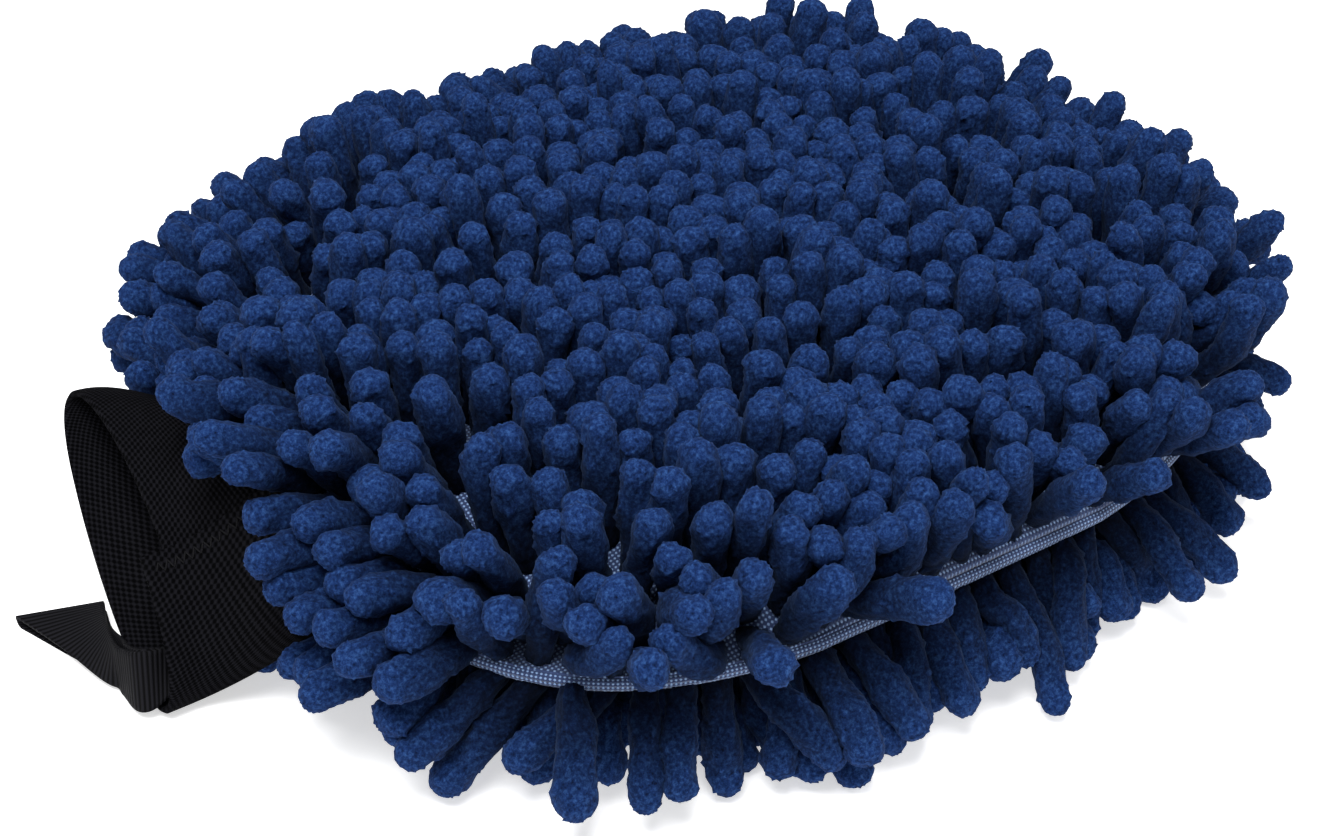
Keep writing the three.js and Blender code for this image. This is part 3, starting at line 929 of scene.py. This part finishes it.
# A smooth line through points, with a given number of places along it.
def splineThrough(points, count):
    points = np.asarray(points, float)
    padded = np.concatenate([[2 * points[0] - points[1]], points, [2 * points[-1] - points[-2]]])
    place = np.linspace(0, len(points) - 1 - 1e-6, count)
    k = place.astype(int)
    t = (place - k)[:, None]
    p0, p1, p2, p3 = (padded[k + i] for i in range(4))
    return 0.5 * (2 * p1 + (p2 - p0) * t + (2 * p0 - 5 * p1 + 4 * p2 - p3) * t ** 2
                  + (3 * p1 - p0 - 3 * p2 + p3) * t ** 3)


# A thread laid along a line of points, closed at both ends.
def makeThread(name, line, radius, material):
    heading = np.gradient(line, axis=0)
    heading /= np.linalg.norm(heading, axis=1)[:, None]
    helper = np.cross(heading, np.array([0.31, 0.17, 0.93]))
    helper /= np.linalg.norm(helper, axis=1)[:, None]
    second = np.cross(heading, helper)
    sides = 8
    turn = np.linspace(0, 2 * math.pi, sides, endpoint=False)
    ring = (line[:, None] + radius * (helper[:, None] * np.cos(turn)[None, :, None]
                                      + second[:, None] * np.sin(turn)[None, :, None]))
    i = np.arange(len(line) - 1)[:, None] * sides
    a, b = np.arange(sides), (np.arange(sides) + 1) % sides
    quads = np.stack([i + a, i + b, i + b + sides, i + a + sides], -1).reshape(-1, 4)
    first, last = len(line) * sides, len(line) * sides + 1
    top = (len(line) - 1) * sides
    caps = np.concatenate([np.stack([b, a, np.full(sides, first)], -1),
                           np.stack([a + top, b + top, np.full(sides, last)], -1)])
    verts = np.concatenate([ring.reshape(-1, 3), line[:1], line[-1:]])
    obj = makeMesh(name, verts, quads, caps, material)
    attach(obj, "mitt")
    return obj


lapStitches = {
    "start": 0.12,  # shares of the cuff's length
    "end": 1.1,
    "count": 30,
    "swing": 1.6,  # degrees to each side
    "fromEnd": 5.0,
    "height": 0.45 * mm,
    "radius": 0.16 * mm,
}


# The zigzag that holds the band's outer end down on the inner one.
def makeLapStitches(material):
    places = 4 * lapStitches["count"]
    along = np.linspace(lapStitches["start"], lapStitches["end"], places)
    swing = lapStitches["swing"] * (2 * np.abs((np.arange(places) / 4) % 2 - 1) - 1)
    angle = cuffShape["innerEnd"] - (360 + cuffShape["lap"] - lapStitches["fromEnd"]) + swing
    lift = 1.5 * cuffShape["thickness"] + lapStitches["height"]
    line = cuffPoint(angle, along, np.full(places, lift))
    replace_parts(makeThread("lap_zigzag", line, lapStitches["radius"], material), "cuff_lap_stitches")


joiningStitches = {
    "count": 80,
    "along": 0.035,
    "swing": 0.02,
    "depth": 0.3 * mm,
    "radius": 0.25 * mm,
}


# The thread that joins the cuff to the mouth, running round just inside it.
def makeJoiningStitches(material):
    places = 6 * joiningStitches["count"]
    wave = np.sin(np.arange(places) * math.pi / 3)
    along = joiningStitches["along"] + joiningStitches["swing"] * wave
    lift = -0.5 * cuffShape["thickness"] - joiningStitches["depth"]
    line = cuffPoint(np.linspace(0, 360, places), along, np.full(places, lift))
    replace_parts(makeThread("joining_stitches", line, joiningStitches["radius"], material), "cuff_seam_thread")


tapeShape = {
    "width": 14 * mm,
    "thickness": 0.8 * mm,
    "cutLength": 112 * mm,
    "foldGap": 1.7 * mm,
    "rootGap": 0.15 * mm,
    "lowAngle": 176.0,  # of its two edges on the cuff's oval
    "highAngle": 139.0,
    "depth": 2.3 * mm,  # below the middle of the cuff's wall
    "sewnFrom": 0.7,  # shares of the cuff's length
    "sewnTo": 1.06,
}


# The two edges of the folded tape, from its sewn end inside the cuff to the fold on the table.
def tapeEdges(count):
    x, y, _ = frame["joints"][0]["pos_m"]
    angles = np.array([tapeShape["lowAngle"], tapeShape["highAngle"]] * 2)
    along = np.repeat([tapeShape["sewnFrom"], tapeShape["sewnTo"]], 2)
    inside = cuffPoint(angles, along, np.full(4, -tapeShape["depth"]))
    # chosen from the hinge line: out of the cuff, round its corner and down to the table
    lowEdge = [inside[0], inside[2],
               (x + 2.8 * mm, y + 0.8 * mm, 2.0 * mm),
               (x + 2.2 * mm, y + 8.0 * mm, 0.9 * mm),
               (x + 2.2 * mm, y + 10.6 * mm, 0.9 * mm),
               (x + 0.3 * mm, y + 14.0 * mm, 1.0 * mm),
               (x - 4.3 * mm, y + 27.0 * mm, 1.1 * mm),
               (x - 8.5 * mm, y + 38.3 * mm, 1.4 * mm)]
    highEdge = [inside[1], inside[3],
                (x + 5.0 * mm, y + 4.0 * mm, 13.6 * mm),
                (x + 3.2 * mm, y + 9.0 * mm, 11.6 * mm),
                (x + 3.2 * mm, y + 11.6 * mm, 10.6 * mm),
                (x + 3.8 * mm, y + 14.4 * mm, 9.0 * mm),
                (x + 5.4 * mm, y + 25.0 * mm, 4.6 * mm),
                (x + 7.2 * mm, y + 32.0 * mm, 2.4 * mm)]
    return splineThrough(lowEdge, count), splineThrough(highEdge, count)


# The tape as one strip: out along the outer layer, round the fold and back along the inner one.
def makeLoop(material):
    count, turns, across = 90, 11, 13
    lowEdge, highEdge = tapeEdges(count)
    share = np.linspace(0, 1, across)[None, :, None]
    middle = lowEdge[:, None] * (1 - share) + highEdge[:, None] * share
    wide = highEdge - lowEdge
    heading = np.gradient(middle[:, across // 2], axis=0)
    heading /= np.linalg.norm(heading, axis=1)[:, None]
    outward = np.cross(heading, wide)
    outward /= np.linalg.norm(outward, axis=1)[:, None]
    spread = smooth(np.linspace(0, 1, count))[:, None, None]
    gap = (tapeShape["rootGap"] + (tapeShape["foldGap"] - tapeShape["rootGap"]) * spread) / 2
    turn = np.linspace(0, math.pi, turns + 2)[1:-1]
    foldCourse = outward[-1] * np.cos(turn)[:, None] + heading[-1] * np.sin(turn)[:, None]

    def strip(lift):
        radius = gap + lift
        near = middle + outward[:, None] * radius
        far = (middle - outward[:, None] * radius)[::-1]
        bend = middle[-1][None] + radius[-1] * foldCourse[:, None]
        return np.concatenate([near, bend, far])

    outer, inner = strip(tapeShape["thickness"]), strip(0.0)
    steps = np.linalg.norm(np.diff(outer[:, across // 2], axis=0), axis=1)
    length = np.concatenate([[0], np.cumsum(steps)])
    weave = np.stack(np.meshgrid(length, np.linspace(0, tapeShape["width"], across), indexing="ij"), -1)
    obj = sheetMesh("loop_tape", outer, inner, material, weave)
    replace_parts(obj, "hanging_loop", "hanging_loop_sewn_end")
    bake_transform(obj)


barTack = {
    "count": 45,
    "margin": 0.15,  # shares of the tape's width
    "along": 0.84,
    "swing": 0.035,
    "depth": 3.6 * mm,
    "radius": 0.16 * mm,
}


# A bar tack: close zigzag stitches across the tape's sewn end.
def makeBarTack(material):
    places = 2 * barTack["count"]
    sweep = np.linspace(barTack["margin"], 1 - barTack["margin"], places)
    angle = tapeShape["lowAngle"] + (tapeShape["highAngle"] - tapeShape["lowAngle"]) * sweep
    along = barTack["along"] + barTack["swing"] * np.where(np.arange(places) // 2 % 2, 1, -1)
    line = cuffPoint(angle, along, np.full(places, -barTack["depth"]))
    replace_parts(makeThread("bar_tack", line, barTack["radius"], material), "loop_bar_tack")


chenille = makeChenille()
ground = makeGround()
elastic = makeElastic()
tape = makeTape()
lining = makePlain("wovenLining", plainLook["lining"])
blackThread = makePlain("sewingThread", plainLook["thread"])
say("materials made")

for face, side in (("top", 1), ("bottom", -1)):
    fabric = makeGroundFabric(f"{face}_net", side, ground)
    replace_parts(fabric, f"{face}_ground_fabric")
    cloth = makeLining(f"{face}_pocket_lining", side, lining)
    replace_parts(cloth, f"{face}_lining")
makeCuff(elastic)
makeSeamRoll(ground)
makeLapStitches(blackThread)
makeJoiningStitches(blackThread)
makeLoop(tape)
makeBarTack(blackThread)
say("nets, linings, seam, cuff and loop made")
makePile(chenille)

studio = {
    "floor": "#f4f4f4",
    "floorSize": 3.0,  # half of its side
    "floorGlow": 0.55,
    "worldStrength": 0.5,
    "key": {"at": (-0.25, -0.2, 0.9), "size": 0.5, "power": 12.0},
    "fill": {"at": (0.7, -0.6, 0.6), "size": 0.9, "power": 2.0},
}


# The pale table, softly lit from within so that it stays near white.
def makeFloor():
    corners = np.array([[-1, -1, 0], [1, -1, 0], [1, 1, 0], [-1, 1, 0]]) * studio["floorSize"]
    material, tree, shader = newMaterial("paleTable")
    shader.inputs["Base Color"].default_value = linear(studio["floor"])
    shader.inputs["Roughness"].default_value = 0.9
    shader.inputs["Emission Color"].default_value = linear("#ffffff")
    shader.inputs["Emission Strength"].default_value = studio["floorGlow"]
    floor = makeMesh("floor", corners, np.array([[0, 1, 2, 3]]), noTriangles, material)


# A square soft light, aimed at the middle of the mitt.
def makeLight(name, look):
    data = bpy.data.lights.new(name, "AREA")
    data.size = look["size"]
    data.energy = look["power"]
    light = bpy.data.objects.new(name, data)
    light.location = look["at"]
    light.rotation_euler = (-Vector(look["at"])).to_track_quat("-Z", "Y").to_euler()
    bpy.context.scene.collection.objects.link(light)


def makeWorld():
    world = bpy.data.worlds.new("studioAir")
    world.use_nodes = True
    background = world.node_tree.nodes["Background"]
    background.inputs["Color"].default_value = linear("#ffffff")
    background.inputs["Strength"].default_value = studio["worldStrength"]
    bpy.context.scene.world = world


cameraView = {
    "place": (-220.6 * mm, -317.0 * mm, 289.9 * mm),
    "elevation": 36.47,
    "azimuth": -33.13,
    "lens": 58.9,  # millimetres, with the sensor
    "sensor": 36,
    "clipStart": 0.01,
}


def makeCamera():
    data = bpy.data.cameras.new("camera")
    data.sensor_width = cameraView["sensor"]
    data.lens = cameraView["lens"]
    data.clip_start = cameraView["clipStart"]
    camera = bpy.data.objects.new("camera", data)
    e, a = math.radians(cameraView["elevation"]), math.radians(cameraView["azimuth"])
    back = Vector((math.sin(a) * math.cos(e), -math.cos(a) * math.cos(e), math.sin(e)))
    camera.location = cameraView["place"]
    camera.rotation_euler = (-back).to_track_quat("-Z", "Y").to_euler()
    bpy.context.scene.collection.objects.link(camera)
    bpy.context.scene.camera = camera


makeFloor()
makeLight("key", studio["key"])
makeLight("fill", studio["fill"])
makeWorld()
makeCamera()
bpy.context.scene.view_settings.view_transform = "Standard"
say("studio made")
